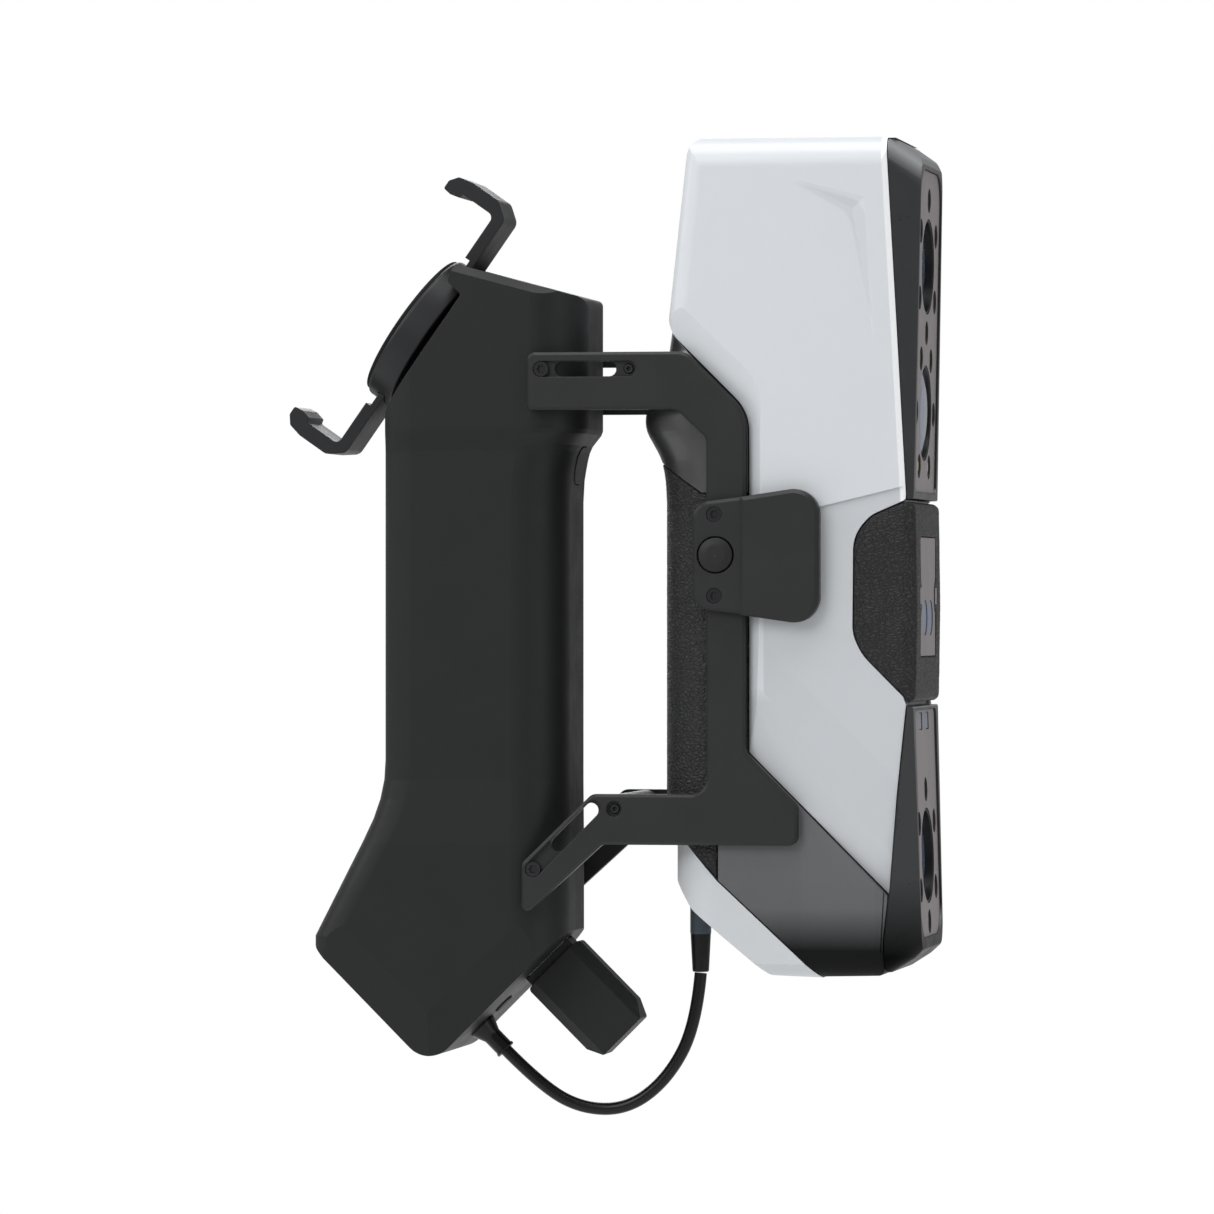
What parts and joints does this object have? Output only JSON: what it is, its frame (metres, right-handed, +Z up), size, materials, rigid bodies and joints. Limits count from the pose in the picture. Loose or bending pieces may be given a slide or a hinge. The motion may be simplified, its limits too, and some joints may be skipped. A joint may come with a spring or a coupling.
{
  "type": "handheld scanner",
  "caption": "Handheld multi-camera scanner on a two-plate bracket with a battery handle, spring phone cradle, plug-in wireless adapter and short link cable.",
  "frame": {"origin": "middle of the battery handle's grip column, where a hand holds the object", "axes": "+X towards the scanner's camera face, +Y to the far side, +Z up along the handle"},
  "size_m": [0.1654, 0.06, 0.2493],
  "materials": {
    "cover_white": "satin",
    "trim_grey": "satin",
    "housing_grey": "satin",
    "nose_dark": "satin",
    "gloss_black": "gloss",
    "face_taupe": "satin",
    "grip_leather": "grained",
    "handle_black": "matte",
    "key_rubber": "matte",
    "bracket_black": "satin",
    "cradle_black": "satin",
    "rest_rubber": "matte",
    "gear_white": "satin",
    "spring_steel": "brushed",
    "screw_steel": "blackened",
    "cable_black": "gloss",
    "lens_glass": "polished",
    "barrel_dark": "anodised",
    "board_green": "satin",
    "metal_plain": "milled",
    "cell_wrap": "satin",
    "switch_dark": "satin"
  },
  "bodies": {
    "scanner": {"battery_cells": "cell_wrap", "bracket_plate_left": "bracket_black", "bracket_plate_right": "bracket_black", "cable_boot": "cable_black", "cable_plug": "cable_black", "cable_tube": "cable_black", "camera_barrel_lower": "barrel_dark", "camera_barrel_middle": "barrel_dark", "camera_barrel_upper": "barrel_dark", "camera_lens_lower": "lens_glass", "camera_lens_middle": "lens_glass", "camera_lens_upper": "lens_glass", "camera_spine": "metal_plain", "clip_block_left": "bracket_black", "clip_block_right": "bracket_black", "clip_screws": "screw_steel", "cradle_base": "cradle_black", "cradle_drum": "cradle_black", "cradle_pad": "rest_rubber", "cross_rod_lower": "bracket_black", "cross_rod_upper": "bracket_black", "face_plate_lower": "face_taupe", "face_plate_middle": "face_taupe", "face_plate_upper": "face_taupe", "front_grip_pad": "grip_leather", "front_housing": "nose_dark", "grip_frame": "metal_plain", "handle_board": "board_green", "handle_shell_left": "handle_black", "handle_shell_right": "handle_black", "jaw_spring": "spring_steel", "lamp_board_lower": "board_green", "lamp_board_upper": "board_green", "line_projector": "barrel_dark", "lower_housing_left": "housing_grey", "lower_housing_right": "housing_grey", "lower_trim": "trim_grey", "main_board": "board_green", "pattern_projector": "barrel_dark", "rear_grip": "grip_leather", "rear_housing": "gloss_black", "side_cover_left": "cover_white", "side_cover_right": "cover_white", "slot_screws": "screw_steel", "trigger_switch": "switch_dark", "usb_socket": "metal_plain", "window_tabs": "face_taupe"},
    "jaw_upper": {"jaw_upper": "cradle_black"},
    "jaw_lower": {"jaw_lower": "cradle_black"},
    "jaw_pinion": {"jaw_pinion": "gear_white"},
    "trigger": {"trigger": "handle_black"},
    "power_button": {"power_button": "key_rubber"},
    "clip_button_left": {"clip_button_left": "key_rubber"},
    "clip_button_right": {"clip_button_right": "key_rubber"},
    "scan_button": {"scan_button": "key_rubber"},
    "key_left": {"key_left": "key_rubber"},
    "key_right": {"key_right": "key_rubber"},
    "adapter": {"adapter_body": "handle_black", "adapter_plug": "metal_plain"}
  },
  "joints": [
    {"name": "upper_jaw_slide", "type": "slide", "parent": "scanner", "child": "jaw_upper", "axis": [0.5736, 0, 0.8192], "range_m": [0, 0.011], "stiffness_N_per_m": 200, "springref_m": -0.01},
    {"name": "lower_jaw_slide", "type": "slide", "parent": "scanner", "child": "jaw_lower", "axis": [-0.5736, 0, -0.8192], "range_m": [0, 0.011]},
    {"name": "pinion_spin", "type": "hinge", "parent": "scanner", "child": "jaw_pinion", "pos_m": [-0.01498, 0, 0.07763], "axis": [-0.8192, 0, 0.5736], "range_deg": [0, 151]},
    {"name": "trigger_press", "type": "slide", "parent": "scanner", "child": "trigger", "axis": [-1, 0, 0], "range_m": [0, 0.0015], "stiffness_N_per_m": 1500, "springref_m": -0.0006},
    {"name": "power_press", "type": "slide", "parent": "scanner", "child": "power_button", "axis": [-0.7071, 0, 0.7071], "range_m": [0, 0.0008], "stiffness_N_per_m": 1500, "springref_m": -0.00032},
    {"name": "clip_left_press", "type": "slide", "parent": "scanner", "child": "clip_button_left", "axis": [0, 1, 0], "range_m": [0, 0.0011], "stiffness_N_per_m": 1500, "springref_m": -0.00044},
    {"name": "clip_right_press", "type": "slide", "parent": "scanner", "child": "clip_button_right", "axis": [0, -1, 0], "range_m": [0, 0.0011], "stiffness_N_per_m": 1500, "springref_m": -0.00044},
    {"name": "scan_press", "type": "slide", "parent": "scanner", "child": "scan_button", "axis": [0.9323, 0, -0.3616], "range_m": [0, 0.0008], "stiffness_N_per_m": 1500, "springref_m": -0.00032},
    {"name": "key_left_press", "type": "slide", "parent": "scanner", "child": "key_left", "axis": [0.9323, 0, -0.3616], "range_m": [0, 0.0008], "stiffness_N_per_m": 1500, "springref_m": -0.00032},
    {"name": "key_right_press", "type": "slide", "parent": "scanner", "child": "key_right", "axis": [0.9323, 0, -0.3616], "range_m": [0, 0.0008], "stiffness_N_per_m": 1500, "springref_m": -0.00032},
    {"name": "adapter_pull", "type": "slide", "parent": "scanner", "child": "adapter", "axis": [0.7071, 0, -0.7071], "range_m": [0, 0.0115]}
  ],
  "couplings": [
    {"joint": "lower_jaw_slide", "follows": "upper_jaw_slide", "ratio": 1},
    {"joint": "pinion_spin", "follows": "upper_jaw_slide", "rad_per_m": 238.1}
  ]
}
